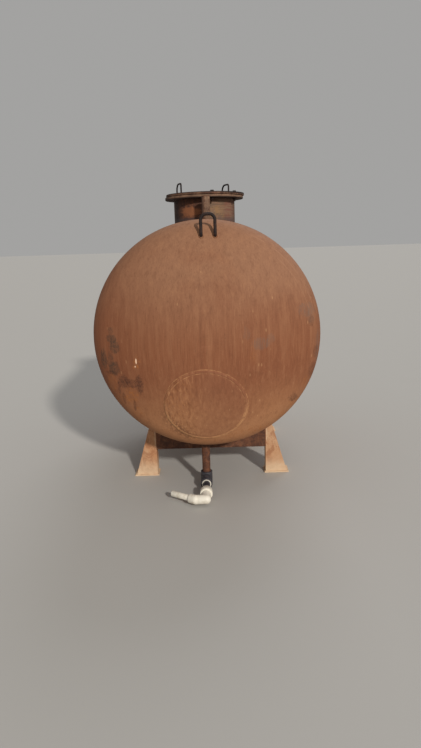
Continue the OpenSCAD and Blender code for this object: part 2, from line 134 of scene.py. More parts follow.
class Look:
    def __init__(self, name):
        self.material = bpy.data.materials.new(name)
        self.material.use_nodes = True
        self.tree = self.material.node_tree
        self.tree.nodes.clear()
        self.shader = self.add("ShaderNodeBsdfPrincipled")
        ending = self.add("ShaderNodeOutputMaterial")
        self.tree.links.new(self.shader.outputs[0], ending.inputs["Surface"])
        self.place = self.out(self.add("ShaderNodeTexCoord"), "Object")
        split = self.add("ShaderNodeSeparateXYZ", inputs={0: self.place})
        self.x, self.y, self.z = (self.out(split, k) for k in range(3))

    def add(self, kind, settings=None, inputs=None):
        made = self.tree.nodes.new(kind)
        for key, setting in (settings or {}).items():
            setattr(made, key, setting)
        for key, given in (inputs or {}).items():
            if isinstance(given, Value):
                self.tree.links.new(given.socket, made.inputs[key])
            else:
                made.inputs[key].default_value = given
        return made

    def out(self, made, key):
        return Value(self, made.outputs[key])

    def stretched(self, scale, shift=(0.0, 0.0, 0.0)):  # one scale for all axes, or one for each
        if not isinstance(scale, tuple):
            scale = (scale, scale, scale)
        made = self.add("ShaderNodeVectorMath", dict(operation="MULTIPLY_ADD"),
                        {0: self.place, 1: scale, 2: shift})
        return self.out(made, 0)

    def noise(self, scale, detail=5.0, rough=0.6, warp=0.0, shift=(0.0, 0.0, 0.0)):
        made = self.add("ShaderNodeTexNoise", None,
                        {"Vector": self.stretched(scale, shift), "Scale": 1.0, "Detail": detail,
                         "Roughness": rough, "Distortion": warp})
        return self.out(made, 0)

    def cells(self, scale):  # distance from the nearest of many scattered points
        made = self.add("ShaderNodeTexVoronoi", None, {"Vector": self.stretched(scale), "Scale": 1.0})
        return self.out(made, "Distance")

    def mix(self, factor, first, second):
        made = self.add("ShaderNodeMix", dict(data_type="RGBA"), {0: factor, 6: first, 7: second})
        return self.out(made, 2)

    def stain(self, mask, strength, shade):  # lay a shade over the colour so far
        self.colour = self.mix(mask * strength, self.colour, shade)

    def oval(self, x, z, wide, high):  # 1 in the middle of an oval mark seen from the front, 0 outside
        across = (self.x - x) / wide
        upward = (self.z - z) / high
        return 1.0 - (across * across + upward * upward).between(0.1, 1.0)

    def reach(self, x, z):  # distance from a line that runs along the tank
        across = self.x - x
        upward = self.z - z
        return (across * across + upward * upward).calc("SQRT")

    def beyond(self, middle, axis, size):  # metres along a round end, from a point on it
        spoke = self.add("ShaderNodeVectorMath", dict(operation="SUBTRACT"), {0: self.place, 1: middle})
        even = self.add("ShaderNodeVectorMath", dict(operation="NORMALIZE"), {0: self.out(spoke, 0)})
        facing = self.add("ShaderNodeVectorMath", dict(operation="DOT_PRODUCT"),
                          {0: self.out(even, 0), 1: axis})
        return self.out(facing, "Value").calc("ARCCOSINE") * size

    def finish(self, colour, roughness, height=None, strength=0.3, depth=0.002, gloss=0.5):
        self.set("Base Color", colour)
        self.set("Roughness", roughness)
        self.set("Specular IOR Level", gloss)
        if height is not None:
            bump = self.add("ShaderNodeBump", None,
                            {"Height": height, "Strength": strength, "Distance": depth})
            self.set("Normal", self.out(bump, "Normal"))
        return self.material

    def set(self, key, given):
        if isinstance(given, Value):
            self.tree.links.new(given.socket, self.shader.inputs[key])
        else:
            self.shader.inputs[key].default_value = given


def rgb(red, green, blue):  # a colour as a screen shows it, 0 to 255, made linear for the shader
    parts = []
    for part in (red, green, blue):
        part /= 255.0
        parts.append(part / 12.92 if part <= 0.04045 else ((part + 0.055) / 1.055) ** 2.4)
    return (*parts, 1.0)


# Rusted plate: an even brown ground with fine streaks that run down, paler and ochre towards the foot,
# partly dust and partly painted light bounced up from the ground
plateRust = dict(
    upper=rgb(149, 107, 81), middle=rgb(138, 87, 60), lower=rgb(174, 123, 86), red=rgb(128, 76, 52),
    dark=rgb(98, 61, 43), pale=rgb(174, 126, 92), tick=rgb(202, 156, 112), pit=rgb(74, 50, 40),
    upperFrom=0.98, upperTo=1.58, lowerFrom=0.48, lowerTo=0.92, roughness=0.80, gloss=0.22,
)


class Plate(Look):
    def __init__(self, name):
        super().__init__(name)
        p = plateRust
        cloud = self.noise(2.1, 5.0, 0.55, 0.4)
        self.mottle = self.noise(13.0, 8.0, 0.64, 0.4)
        self.fine = self.noise(120.0, 6.0, 0.70)
        grain = self.noise(420.0, 3.0, 0.6)
        run = self.noise((36.0, 36.0, 1.3), 6.0, 0.62)
        self.streak = self.noise((150.0, 150.0, 6.0), 6.0, 0.66)
        self.speckle = self.noise((70.0, 70.0, 48.0), 6.0, 0.74)
        colour = self.mix(self.z.between(p["upperFrom"], p["upperTo"]), p["middle"], p["upper"])
        # The paler lower band: partly dust, partly painted bounce light from the ground
        colour = self.mix(1.0 - self.z.between(p["lowerFrom"], p["lowerTo"]), colour, p["lower"])
        colour = self.mix(cloud.between(0.44, 0.68) * 0.36, colour, p["red"])
        colour = self.mix((1.0 - run.between(0.32, 0.52)) * 0.22, colour, p["pale"])
        colour = self.mix(run.between(0.50, 0.72) * 0.28, colour, p["dark"])
        colour = self.mix(self.streak.between(0.50, 0.72) * 0.34, colour, p["dark"])
        colour = self.mix((1.0 - self.streak.between(0.30, 0.46)) * 0.28, colour, p["pale"])
        colour = self.mix(self.mottle.between(0.52, 0.76) * 0.20, colour, p["dark"])
        colour = self.mix(self.fine.between(0.54, 0.76) * 0.30, colour, p["dark"])
        colour = self.mix((1.0 - self.fine.between(0.28, 0.44)) * 0.22, colour, p["pale"])
        ticks = 1.0 - self.cells((24.0, 24.0, 8.0)).between(0.05, 0.13)
        colour = self.mix(ticks * cloud.between(0.44, 0.52) * 0.36, colour, p["tick"])
        pits = (1.0 - self.cells((80.0, 80.0, 40.0)).between(0.08, 0.17)) * self.mottle.between(0.56, 0.66)
        self.colour = self.mix(pits * 0.45, colour, p["pit"])
        self.breakup = (self.mottle - 0.5) * 2.6 + (self.fine - 0.5) * 2.2
        self.height = self.fine * 0.5 + grain * 0.25 + self.mottle * 0.9 - pits * 0.4

    def ragged(self, x, z, wide, high, streaky, rough):  # an uneven mark, 1 inside and 0 outside
        oval = self.oval(x, z, wide * 1.4, high * 1.4)
        uneven = oval + (self.streak - 0.5) * streaky + self.breakup * rough
        return uneven.between(0.25, 1.05) * oval.between(0.0, 0.3)

    def done(self):
        rough = plateRust["roughness"] + self.fine * 0.22 - 0.08
        return self.finish(self.colour, rough, self.height, 0.4, 0.0018, plateRust["gloss"])


# Round the patch's seam: pale lines at the weld's toes, a paler foot on its lower half that is partly
# painted light over the bead's own shade, dark pits and spatter on the left.
# A pair of places, here and below, is where a mark's fading starts and where it ends
seamRust = dict(
    pale=rgb(204, 152, 106), dark=rgb(84, 54, 40), foot=rgb(214, 160, 112),
    toe=0.0105, toeWide=0.0045, footWide=0.011, pitWide=0.026, spatterWide=0.080,
    leftTo=(-0.16, -0.02), spatterTop=(0.52, 0.74), footTop=(0.56, 0.78),
)


def seamMarks(look, colour):
    p = seamRust
    away = look.beyond(crownMiddle, patchAxis, crownR) - patchHalf * crownR
    broken = look.noise(28.0, 5.0, 0.68)
    left = 1.0 - look.x.between(*p["leftTo"])
    pits = (1.0 - look.cells((120.0, 120.0, 70.0)).between(0.16, 0.34)) * away.near(0.0, p["pitWide"])
    colour = look.mix(pits * (0.12 + left * 0.62) * broken.between(0.40, 0.54), colour, p["dark"])
    rough = away.near(0.0, p["spatterWide"]) * left * (1.0 - look.z.between(*p["spatterTop"]))
    rough = rough * broken.between(0.38, 0.52)
    drops = look.cells((64.0, 64.0, 30.0))
    colour = look.mix(rough * drops.between(0.30, 0.52) * 0.60, colour, p["dark"])
    colour = look.mix(rough * (1.0 - drops.between(0.12, 0.26)) * 0.75, colour, p["pale"])
    uneven = look.noise(6.0, 3.0, 0.5).between(0.40, 0.60)
    # Partly painted light: the seam's lower half is made paler where the bead shades itself
    foot = away.near(0.0, p["footWide"]) * (1.0 - look.z.between(*p["footTop"]))
    colour = look.mix(foot * (0.25 + broken.between(0.38, 0.56) * 0.45), colour, p["foot"])
    lines = away.distance().near(p["toe"], p["toeWide"]) * (0.15 + broken.between(0.40, 0.58) * 0.85)
    return look.mix(lines * (0.35 + uneven * 0.40), colour, p["pale"])


# Marks on the front end, in metres: where they are across and up, how wide and high, how strong
frontMarks = dict(
    darkRuns=[(-0.597, 1.120, 0.036, 0.028, 0.80), (-0.583, 1.070, 0.036, 0.046, 0.90),
              (-0.662, 0.985, 0.024, 0.066, 0.95), (-0.614, 0.985, 0.020, 0.064, 0.60),
              (-0.592, 0.925, 0.036, 0.046, 0.85), (-0.600, 1.172, 0.020, 0.022, 0.60)],
    darkPatches=[(-0.537, 0.838, 0.042, 0.046, 0.85), (-0.485, 0.832, 0.040, 0.032, 0.70),
                 (-0.435, 0.826, 0.028, 0.064, 0.95), (-0.615, 0.896, 0.044, 0.014, 0.60),
                 (-0.570, 0.795, 0.010, 0.044, 0.70), (-0.546, 0.722, 0.012, 0.048, 0.70),
                 (-0.478, 0.676, 0.009, 0.050, 0.70), (0.548, 0.690, 0.036, 0.030, 0.70),
                 (0.680, 0.860, 0.030, 0.060, 0.45), (0.700, 0.985, 0.022, 0.045, 0.50),
                 (0.664, 1.190, 0.020, 0.035, 0.40)],
    scuffs=[(0.338, 1.078, 0.058, 0.036, 0.52), (0.395, 1.112, 0.026, 0.028, 0.42),
            (0.628, 1.262, 0.058, 0.040, 0.46), (0.664, 1.225, 0.030, 0.048, 0.34),
            (0.712, 1.020, 0.014, 0.110, 0.50), (0.245, 1.150, 0.020, 0.040, 0.25)],
    ochre=[(-0.490, 0.748, 0.056, 0.060, 0.85), (-0.618, 0.835, 0.034, 0.080, 0.62),
           (-0.560, 0.700, 0.056, 0.050, 0.50), (-0.470, 0.620, 0.050, 0.050, 0.45),
           (0.570, 0.640, 0.060, 0.050, 0.60), (0.480, 0.560, 0.070, 0.040, 0.60),
           (0.340, 0.480, 0.090, 0.040, 0.60), (0.640, 0.760, 0.040, 0.070, 0.50),
           (0.285, 1.020, 0.024, 0.080, 0.30), (0.000, 0.450, 0.400, 0.070, 0.30)],
    chips=[(-0.441, 0.985, 0.006, 0.025, 0.90), (-0.449, 0.950, 0.006, 0.008, 0.70)],
    arcs=[(0.705, 0.0035), (0.672, 0.0025)],  # faint scratches round the axis: radius and width
    soot=rgb(72, 46, 38), olive=rgb(72, 60, 50), slate=rgb(118, 99, 88), ochreShade=rgb(164, 102, 56),
    chipShade=rgb(255, 216, 184), arcShade=rgb(178, 134, 106), bleachedAndSheen=rgb(166, 124, 104),
    leftPaintedShade=rgb(120, 68, 42), bleachedAndSheenX=(0.05, 0.75), bleachedAndSheenZ=(1.15, 1.70), leftPaintedShadeTo=(-0.66, -0.14),
    arcX=(0.22, 0.34), arcZ=(1.20, 1.36),
)


def frontEndLook(marks):
    look = Plate("frontEndRust")
    patchy = look.speckle.between(0.44, 0.58)
    dotted = 1.0 - look.cells((46.0, 46.0, 36.0)).between(0.24, 0.46)
    # Upper right paler and pinker: partly sun-bleached rust, partly a painted sheen on the side the key
    # light comes from
    bleachAndSheenMask = look.x.between(*marks["bleachedAndSheenX"]) * look.z.between(*marks["bleachedAndSheenZ"])
    look.stain(bleachAndSheenMask, 0.22, marks["bleachedAndSheen"])
    # Painted shade: the end is darkened and reddened towards its left, the side turned from the key light
    look.stain(1.0 - look.x.between(*marks["leftPaintedShadeTo"]), 0.30, marks["leftPaintedShade"])
    kinds = (  # each kind's name, how streaky and rough its rims are, what shows, its share and its shade
        ("ochre", 2.4, 0.9, 0.14 + patchy * 0.26 + dotted * 0.60, 1.00, "ochreShade"),
        ("scuffs", 2.4, 0.9, 0.25 + look.streak.between(0.44, 0.60) * 0.75, 1.00, "slate"),
        ("darkRuns", 1.8, 0.6, 0.44 + patchy * 0.56, 0.84, "olive"),
        ("darkPatches", 0.0, 0.7, 0.40 + patchy * 0.60, 0.84, "soot"),
    )
    for kind, streaky, rough, shows, share, shade in kinds:
        for x, z, wide, high, strength in marks[kind]:
            look.stain(look.ragged(x, z, wide, high, streaky, rough) * shows, strength * share, marks[shade])
    for x, z, wide, high, strength in marks["chips"]:
        bared = look.oval(x + 0.004, z - 0.004, wide * 5.6, high * 2.2)
        look.stain(bared * (patchy * 0.4 + dotted * 0.6), 0.70, marks["ochreShade"])
        chip = look.oval(x, z, wide, high) + (look.fine - 0.5) * 1.2
        look.stain(chip.between(0.30, 0.80), strength, marks["chipShade"])
    far = look.reach(0.0, axisZ)
    upperRight = look.x.between(*marks["arcX"]) * look.z.between(*marks["arcZ"])
    for radius, width in marks["arcs"]:
        arc = far.near(radius, width) * upperRight * look.mottle.between(0.40, 0.50)
        look.stain(arc, 0.40, marks["arcShade"])
    look.colour = seamMarks(look, look.colour)
    return look.done()


# The lapped plate: redder on its right, and streaked with ochre on its left
lappedRust = dict(right=rgb(130, 82, 62), streak=rgb(176, 118, 76), dark=rgb(112, 66, 42),
                  pale=rgb(192, 138, 98), leftTo=(-0.20, 0.02))


def patchLook():
    look = Plate("patchRust")
    p = lappedRust
    left = 1.0 - look.x.between(*p["leftTo"])
    wide = look.noise((62.0, 62.0, 4.5), 6.0, 0.64, 0.2)
    look.stain(1.0 - left, 0.25, p["right"])
    look.stain(look.streak.between(0.48, 0.62) * left, 0.50, p["streak"])
    look.stain(wide.between(0.52, 0.64) * (0.35 + left * 0.65), 0.46, p["dark"])
    look.stain((1.0 - wide.between(0.36, 0.48)) * (0.35 + left * 0.65), 0.42, p["pale"])
    look.colour = seamMarks(look, look.colour)
    return look.done()


# Neck, lid and pipes: darker rust with what is left of old paint, in short strokes across
neckRust = dict(
    brown=rgb(80, 53, 42), orange=rgb(114, 72, 50), tan=rgb(148, 118, 96), olive=rgb(112, 90, 72),
    dark=rgb(34, 24, 22), slate=rgb(78, 70, 72), glow=rgb(156, 100, 66), golden=rgb(158, 126, 84),
    rosy=rgb(128, 78, 68), roughness=0.72,
)
neckPlaces = dict(  # glow is an oval: its middle and half its sizes
    front=(-0.12, 0.04), right=(-0.03, 0.03), glow=(-0.090, 1.908, 0.110, 0.050), goldenFrom=(0.02, 0.05),
    goldenTo=(0.12, 0.16), goldenTop=(1.930, 1.962), rosyFrom=(0.13, 0.17), leftShadeEdge=(-0.22, -0.13),
    rightEdge=(0.19, 0.23), slateShadeTop=(1.852, 1.884), shadeFrom=(1.966, 1.990),
)


class DarkRust(Look):  # paint: how much old paint is left, 0 to 1, and strokes: how fine it is on each axis
    def __init__(self, name, paint, strokes=(9.0, 9.0, 80.0)):
        super().__init__(name)
        p = neckRust
        self.big = self.noise(6.0, 6.0, 0.6, 0.5)
        self.middle = self.noise(26.0, 8.0, 0.7, 0.6)
        self.fine = self.noise(130.0, 6.0, 0.7)
        run = self.noise((70.0, 70.0, 5.0), 6.0, 0.7)
        self.stroke = self.noise(strokes, 6.0, 0.62)
        old = self.mix(self.stroke.between(0.42, 0.60), p["tan"], p["olive"])
        rust = self.mix(self.middle.between(0.42, 0.62), p["brown"], p["orange"])
        ragged = self.stroke * 0.3 + self.middle * 0.4 + self.fine * 0.3
        self.peel = (ragged + (paint - 0.5) * 0.5).between(0.46, 0.58)
        colour = self.mix(self.peel * 0.9, rust, old)
        colour = self.mix(run.between(0.52, 0.72) * 0.34, colour, p["dark"])
        colour = self.mix(self.stroke.between(0.56, 0.68) * 0.30, colour, p["brown"])
        colour = self.mix(self.fine.between(0.56, 0.76) * 0.36, colour, p["dark"])
        self.colour = self.mix((1.0 - self.fine.between(0.28, 0.42)) * 0.25, colour, p["tan"])

    def done(self):
        rough = neckRust["roughness"] + self.fine * 0.25 - 0.12
        height = self.fine * 0.5 + self.middle * 0.8 + self.peel * 0.4
        return self.finish(self.colour, rough, height, 0.4, 0.0018, 0.25)


def neckLook():
    look = DarkRust("neckRust", 0.0)
    p = neckRust
    at = neckPlaces
    front = 1.0 - look.y.between(*at["front"])
    right = look.x.between(*at["right"]) * front + (1.0 - front) * look.big.between(0.44, 0.58)
    old = look.mix(look.stroke.between(0.40, 0.60), p["tan"], p["olive"])
    old = look.mix(look.middle.between(0.50, 0.66) * 0.45, old, p["orange"])
    look.colour = look.mix(right * (0.55 + look.stroke.between(0.40, 0.52) * 0.35), look.colour, old)
    glow = look.oval(*at["glow"]) + (look.middle - 0.5) * 1.4 + (look.stroke - 0.5) * 2.0
    look.stain(glow.between(0.35, 1.00) * (1.0 - right) * front, 0.66, p["glow"])
    golden = (look.middle * 0.6 + look.fine * 0.4).between(0.47, 0.56)
    golden = golden * (1.0 - look.z.between(*at["goldenTop"]))
    golden = golden * look.x.between(*at["goldenFrom"]) * (1.0 - look.x.between(*at["goldenTo"]))
    look.stain(golden * front, 0.50, p["golden"])
    look.stain(look.stroke.between(0.46, 0.58) * look.x.between(*at["rosyFrom"]) * front, 0.55, p["rosy"])
    # Painted shade: the neck's left edge is darkened
    look.stain((1.0 - look.x.between(*at["leftShadeEdge"])) * front, 0.85, p["dark"])
    look.stain(look.x.between(*at["rightEdge"]), 0.35, p["dark"])
    # Painted shade: a bluish slate band at the neck's foot, where it meets the shell
    look.stain((1.0 - look.z.between(*at["slateShadeTop"])) * (0.30 + front * 0.70), 0.58, p["slate"])
    look.stain(look.z.between(*at["shadeFrom"]), 0.35, p["dark"])
    return look.done()


def ventLook():
    look = DarkRust("ventRust", 0.60, (62.0, 62.0, 7.0))
    middleX = sum(corner[0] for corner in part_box("vent_pipe")) / 2
    # Painted shade: the vent pipe's left side is darkened
    look.stain(1.0 - look.x.between(middleX - 0.018, middleX + 0.002), 0.62, neckRust["brown"])
    return look.done()


# Flange and lid: painted shade on their left and along the flange's foot, and darker bands at the lid's top
# and right edge. Foot, top band and edge are measured from a level face
lidRust = dict(
    thick=0.018, rim=(0.262, 0.280), leftShadeEdge=(-0.290, -0.235), leftHalfShade=(-0.22, 0.02),
    rightEdge=(0.06, 0.22), foot=(0.003, 0.010), darkTopBand=(0.0075, 0.0030), edge=(0.0150, 0.0100),
)


def shadeLeft(look, strength):
    # Painted shade: darker towards the left of the flange and lid
    look.stain(1.0 - look.x.between(*lidRust["leftShadeEdge"]), strength, neckRust["dark"])
    look.stain(1.0 - look.x.between(*lidRust["leftHalfShade"]), 0.25, neckRust["brown"])


def flangeLook():
    look = DarkRust("flangeRust", 0.62)
    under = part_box("manhole_flange")[0][2]
    # Painted shade: the flange's lowest few millimetres are darkened
    foot = 1.0 - look.z.between(*(under + up for up in lidRust["foot"]))
    look.stain(foot, 0.94, neckRust["dark"])
    shadeLeft(look, 0.70)
    return look.done()


def lidLook():
    look = DarkRust("lidRust", 0.50)
    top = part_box("gasket")[1][2] + lidRust["thick"]
    rim = (look.x * look.x + look.y * look.y).calc("SQRT").between(*lidRust["rim"])
    uneven = 0.30 + look.big.between(0.42, 0.60) * 0.30 + look.middle.between(0.40, 0.60) * 0.25
    # Darker band along the top of the lid's edge, darkest at the rim, and a dark wedge at its right
    upper = look.z.between(*(top - down for down in lidRust["darkTopBand"]))
    look.stain(upper * (1.0 - rim), 0.55, neckRust["brown"])
    look.stain(upper * (uneven * (1.0 - rim) + rim), 0.90, neckRust["dark"])
    edge = look.z.between(*(top - down for down in lidRust["edge"]))
    look.stain(edge * look.x.between(*lidRust["rightEdge"]), 0.85, neckRust["dark"])
    shadeLeft(look, 0.75)
    return look.done()


# Rods and bolts: dark oxide, made near-black partly as painted shade, with a dull shine on the crests
rodSteel = dict(dark=rgb(30, 21, 20), brown=rgb(58, 37, 30), worn=rgb(80, 62, 54), roughness=0.62)


def darkSteel(name):
    look = Look(name)
    p = rodSteel
    middle = look.noise(45.0, 7.0, 0.65, 0.5)
    fine = look.noise(260.0, 5.0, 0.7)
    colour = look.mix(middle.between(0.42, 0.68), p["dark"], p["brown"])
    colour = look.mix(fine.between(0.60, 0.78) * 0.5, colour, p["worn"])
    return look.finish(colour, p["roughness"] + middle * 0.3 - 0.1, middle + fine * 0.5, 0.4, 0.001, 0.3)


# Weld metal: rusted as the plate is, and pitted
beadSteel = dict(
    brown=rgb(116, 78, 57), orange=rgb(144, 96, 66), dark=rgb(64, 45, 37), pale=rgb(184, 138, 102),
    roughness=0.68,
)


def weldMetal(name):
    look = Look(name)
    p = beadSteel
    middle = look.noise(40.0, 7.0, 0.7, 0.4)
    fine = look.noise(300.0, 5.0, 0.7)
    pit = 1.0 - look.cells(220.0).between(0.12, 0.26)
    colour = look.mix(middle.between(0.36, 0.64), p["brown"], p["orange"])
    colour = look.mix(fine.between(0.55, 0.75) * 0.6, colour, p["dark"])
    colour = look.mix((1.0 - middle.between(0.34, 0.52)) * 0.5, colour, p["pale"])
    colour = look.mix(pit * 0.5, colour, p["dark"])
    height = middle + fine * 0.6 - pit * 0.5
    return look.finish(colour, p["roughness"] + fine * 0.2, height, 0.4, 0.001, 0.25)


# Saddles: paler, sun-bleached rust, with dust and soil towards the feet
saddleRust = dict(
    tan=rgb(198, 158, 124), orange=rgb(186, 136, 99), rust=rgb(156, 104, 72), dark=rgb(100, 67, 50),
    dust=rgb(222, 196, 164), dustTop=0.16, paleEdgeAt=0.409, paleEdgeWide=0.012, paleEdgeFrom=(0.18, 0.26),
    roughness=0.82,
)


def paleRust(name):
    look = Look(name)
    p = saddleRust
    big = look.noise(6.0, 6.0, 0.6, 0.4)
    middle = look.noise(24.0, 7.0, 0.7, 0.4)
    fine = look.noise(160.0, 6.0, 0.7)
    patch = look.noise((13.0, 13.0, 9.0), 9.0, 0.74, 0.8, (3.1, 0.7, 5.3))
    run = look.noise((60.0, 60.0, 6.5), 6.0, 0.72)
    colour = look.mix(big.between(0.40, 0.62), p["tan"], p["orange"])
    colour = look.mix(patch.between(0.48, 0.55) * 0.62, colour, p["rust"])
    colour = look.mix(run.between(0.52, 0.74) * 0.26, colour, p["dark"])
    colour = look.mix(middle.between(0.58, 0.72) * 0.45, colour, p["dark"])
    colour = look.mix(fine.between(0.56, 0.74) * 0.40, colour, p["dark"])
    colour = look.mix((1.0 - fine.between(0.30, 0.44)) * 0.35, colour, p["dust"])
    dust = (1.0 - look.z.between(0.0, p["dustTop"])) * (0.25 + middle)
    colour = look.mix(dust, colour, p["dust"])
    worn = look.x.distance().near(p["paleEdgeAt"], p["paleEdgeWide"])  # a pale strip down each leg's upright inner edge: painted highlight, partly rubbed wear
    worn = worn * look.z.between(*p["paleEdgeFrom"]) * middle.between(0.36, 0.50)
    colour = look.mix(worn * 0.55, colour, p["dust"])
    return look.finish(colour, p["roughness"] + fine * 0.15, fine * 0.6 + middle, 0.35, 0.0015, 0.2)


# The drain's white and grey plastic: dusty, with soil on the side that lies lowest, and painted shade on the
# white fittings' far part
whitePipe = dict(
    white=rgb(236, 230, 216), shade=rgb(206, 196, 176), soil=rgb(122, 100, 74), back=rgb(150, 144, 140),
    soilTop=(0.01, 0.036), backShadeFrom=(-1.03, -0.93), roughness=0.40,
)
greyPipe = dict(
    dark=rgb(44, 43, 50), light=rgb(70, 66, 70), soil=rgb(108, 92, 74), scratch=rgb(120, 112, 104),
    soilTop=(0.01, 0.05), roughness=0.48,
)


def whitePlastic(name):
    look = Look(name)
    p = whitePipe
    middle = look.noise(22.0, 6.0, 0.6, 0.3)
    fine = look.noise(180.0, 5.0, 0.7)
    colour = look.mix(middle.between(0.46, 0.72), p["white"], p["shade"])
    low = 1.0 - look.z.between(*p["soilTop"])
    colour = look.mix(low * (0.10 + middle * 0.7), colour, p["soil"])
    colour = look.mix(fine.between(0.66, 0.78) * 0.6, colour, p["soil"])
    # Painted shade: the white fittings are greyer on their part away from the front
    back = look.y.between(*p["backShadeFrom"])
    colour = look.mix(back * (0.15 + middle.between(0.44, 0.60) * 0.35), colour, p["back"])
    rough = p["roughness"] + middle * 0.25 + low * 0.2
    return look.finish(colour, rough, fine * 0.4 + middle, 0.12, 0.0008)


def greyPlastic(name):
    look = Look(name)
    p = greyPipe
    middle = look.noise(26.0, 6.0, 0.65, 0.3)
    fine = look.noise(200.0, 5.0, 0.7)
    colour = look.mix(middle.between(0.40, 0.66), p["dark"], p["light"])
    colour = look.mix((1.0 - look.z.between(*p["soilTop"])) * 0.4 * middle, colour, p["soil"])
    colour = look.mix(fine.between(0.62, 0.78) * 0.4, colour, p["scratch"])
    return look.finish(colour, p["roughness"] + middle * 0.2, fine * 0.4 + middle, 0.15, 0.0008)


gasketRubber = dict(dark=rgb(26, 25, 25), dusty=rgb(58, 52, 47), roughness=0.85)


def oldRubber(name):
    look = Look(name)
    p = gasketRubber
    fine = look.noise(150.0, 5.0, 0.7)
    colour = look.mix(fine.between(0.4, 0.7), p["dark"], p["dusty"])
    return look.finish(colour, p["roughness"], fine, 0.3, 0.0006)


frontLook = frontEndLook(frontMarks)
plateLook = Plate("plateRust").done()
lappedLook = patchLook()
pipeLook = DarkRust("pipeRust", 0.34, (48.0, 48.0, 7.0)).done()
rodLook = darkSteel("rodSteel")
beadLook = weldMetal("weldMetal")
saddleLook = paleRust("saddleRust")
beamLook = DarkRust("beamRust", 0.40, (40.0, 40.0, 9.0)).done()
whiteLook = whitePlastic("whitePlastic")
greyLook = greyPlastic("greyPlastic")
rubberLook = oldRubber("oldRubber")
print("stage: materials made")


# A look for each material slot, and for the pieces that have one of their own
slotLooks = dict(
    rusted_shell=plateLook, rusted_dark=pipeLook, weld_bead=beadLook, blackened_steel=rodLook,
    saddle_steel=saddleLook, gasket_rubber=rubberLook, white_plastic=whiteLook, grey_plastic=greyLook,
)
ownLooks = dict(
    front_head=frontLook, patch_plate=lappedLook, manhole_neck=neckLook(), manhole_flange=flangeLook(),
    manhole_lid=lidLook(), vent_pipe=ventLook(), front_cross_beam=beamLook, rear_cross_beam=beamLook,
)
slotOf = {part["node"]: part["material_slot"] for part in frame["record"]["subparts"]}
for nodeName, piece in nodes.items():
    look = ownLooks.get(nodeName, slotLooks[slotOf[nodeName]])
    piece.data.materials.clear()
    piece.data.materials.append(look)


# Edges that are rounded on the real pieces, in metres, by how the node's name ends
edgeRounds = dict(
    manhole_lid=0.003, manhole_flange=0.003, vent_cap=0.002, gasket=0.0006, leg=0.005, foot=0.002,
    cross_beam=0.004, wear_plate=0.002, patch_plate=0.0015, manhole_neck=0.001, vent_pipe=0.0008,
    drain_grey_elbow=0.0015, drain_bush=0.0012, drain_white_elbow=0.002, drain_slight_bend=0.002,
    drain_outlet_pipe=0.0007,
)
joinWithin = 0.00002  # points closer than this are joined first


def roundEdges(piece, width, segments, angle):  # rounds the corners that are sharper than the angle
    bevel = piece.modifiers.new("roundEdges", "BEVEL")
    bevel.width = width
    bevel.segments = segments
    bevel.limit_method = "ANGLE"
    bevel.angle_limit = math.radians(angle)


for ending, width in edgeRounds.items():
    for piece in (nodes[name] for name in nodes if name.endswith(ending)):
        weld = piece.modifiers.new("joinCorners", "WELD")
        weld.merge_threshold = joinWithin
        roundEdges(piece, width, 2, 35)
print("stage: edges rounded")


def addPiece(name, points, faces, look, replaced=(), smooth=True):
    mesh = bpy.data.meshes.new(name)
    mesh.from_pydata([tuple(p) for p in points], [], faces)
    mesh.materials.append(look)
    mesh.validate()
    mesh.update()
    piece = bpy.data.objects.new(name, mesh)
    bpy.context.collection.objects.link(piece)
    for face in mesh.polygons:
        face.use_smooth = smooth
    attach(piece, "root")
    if replaced:
        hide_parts(*replaced)
    return piece


# Weld beads: a rounded band along a path, with the curved ripples that each drop of metal leaves
beadMake = dict(step=0.0022, pitch=0.0075, ripple=0.32, fade=1.5, bow=0.55, arch=0.8, across=8,
                sink=0.0008, wander=0.07, drift=0.02, swell=0.97, swellBy=0.1, swellBack=0.05, closing=40.0)


def beadStrip(path, width, height, closed, ramp):  # ramp is how much higher its inner edge lies
    make = beadMake
    count = len(path)
    points = []
    faces = []
    drift = 0.0
    swell = make["swell"]
    length = 0.0
    across = make["across"]
    for i, (spot, normal) in enumerate(path):
        before = path[i - 1 if closed or i else 0][0]
        after = path[(i + 1) % count if closed or i < count - 1 else i][0]
        along = (after - before).normalized()
        sideways = along.cross(normal).normalized()
        if i:
            length += (spot - path[i - 1][0]).length
        push = random.uniform(-1.0, 1.0) * make["wander"]
        drift += push * make["drift"] - drift * make["drift"]
        push = random.uniform(-1.0, 1.0) * make["wander"]
        swell += push * make["swellBy"] - (swell - make["swell"]) * make["swellBack"]
        if closed:  # the end comes back to where it began
            left = min(1.0, (count - i) / make["closing"])
            drift, swell = drift * left, make["swell"] + (swell - make["swell"]) * left
        for j in range(across + 1):
            turn = math.pi * j / across
            u = -math.cos(turn)
            lag = (length / make["pitch"] - make["bow"] * u * u) % 1.0
            crest = 1.0 - make["ripple"] * (1.0 - lag) ** make["fade"]
            rise = math.sin(turn) ** make["arch"] * height * crest if 0 < j < across else -make["sink"]
            rise += (1.0 - u) * 0.5 * ramp
            points.append(spot + sideways * (u * width * 0.5 * swell + drift * width) + normal * rise)
    row = across + 1
    for i in range(count if closed else count - 1):
        a = i * row
        b = (i + 1) % count * row
        faces += [(a + j, a + j + 1, b + j + 1, b + j) for j in range(across)]
        faces.append((a + across, a, b, b + across))
    if not closed:
        faces.append(tuple(range(row)))
        faces.append(tuple((count - 1) * row + j for j in reversed(range(row))))
    return points, faces


def addBead(name, path, width, height, replaced=(), closed=True, look=None, ramp=0.0):
    points, faces = beadStrip(path, width, height, closed, ramp)
    return addPiece(name, points, faces, look or beadLook, replaced)


def middleOf(nodeName):
    low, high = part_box(nodeName)
    return [(low[k] + high[k]) / 2 for k in range(3)], [high[k] - low[k] for k in range(3)]


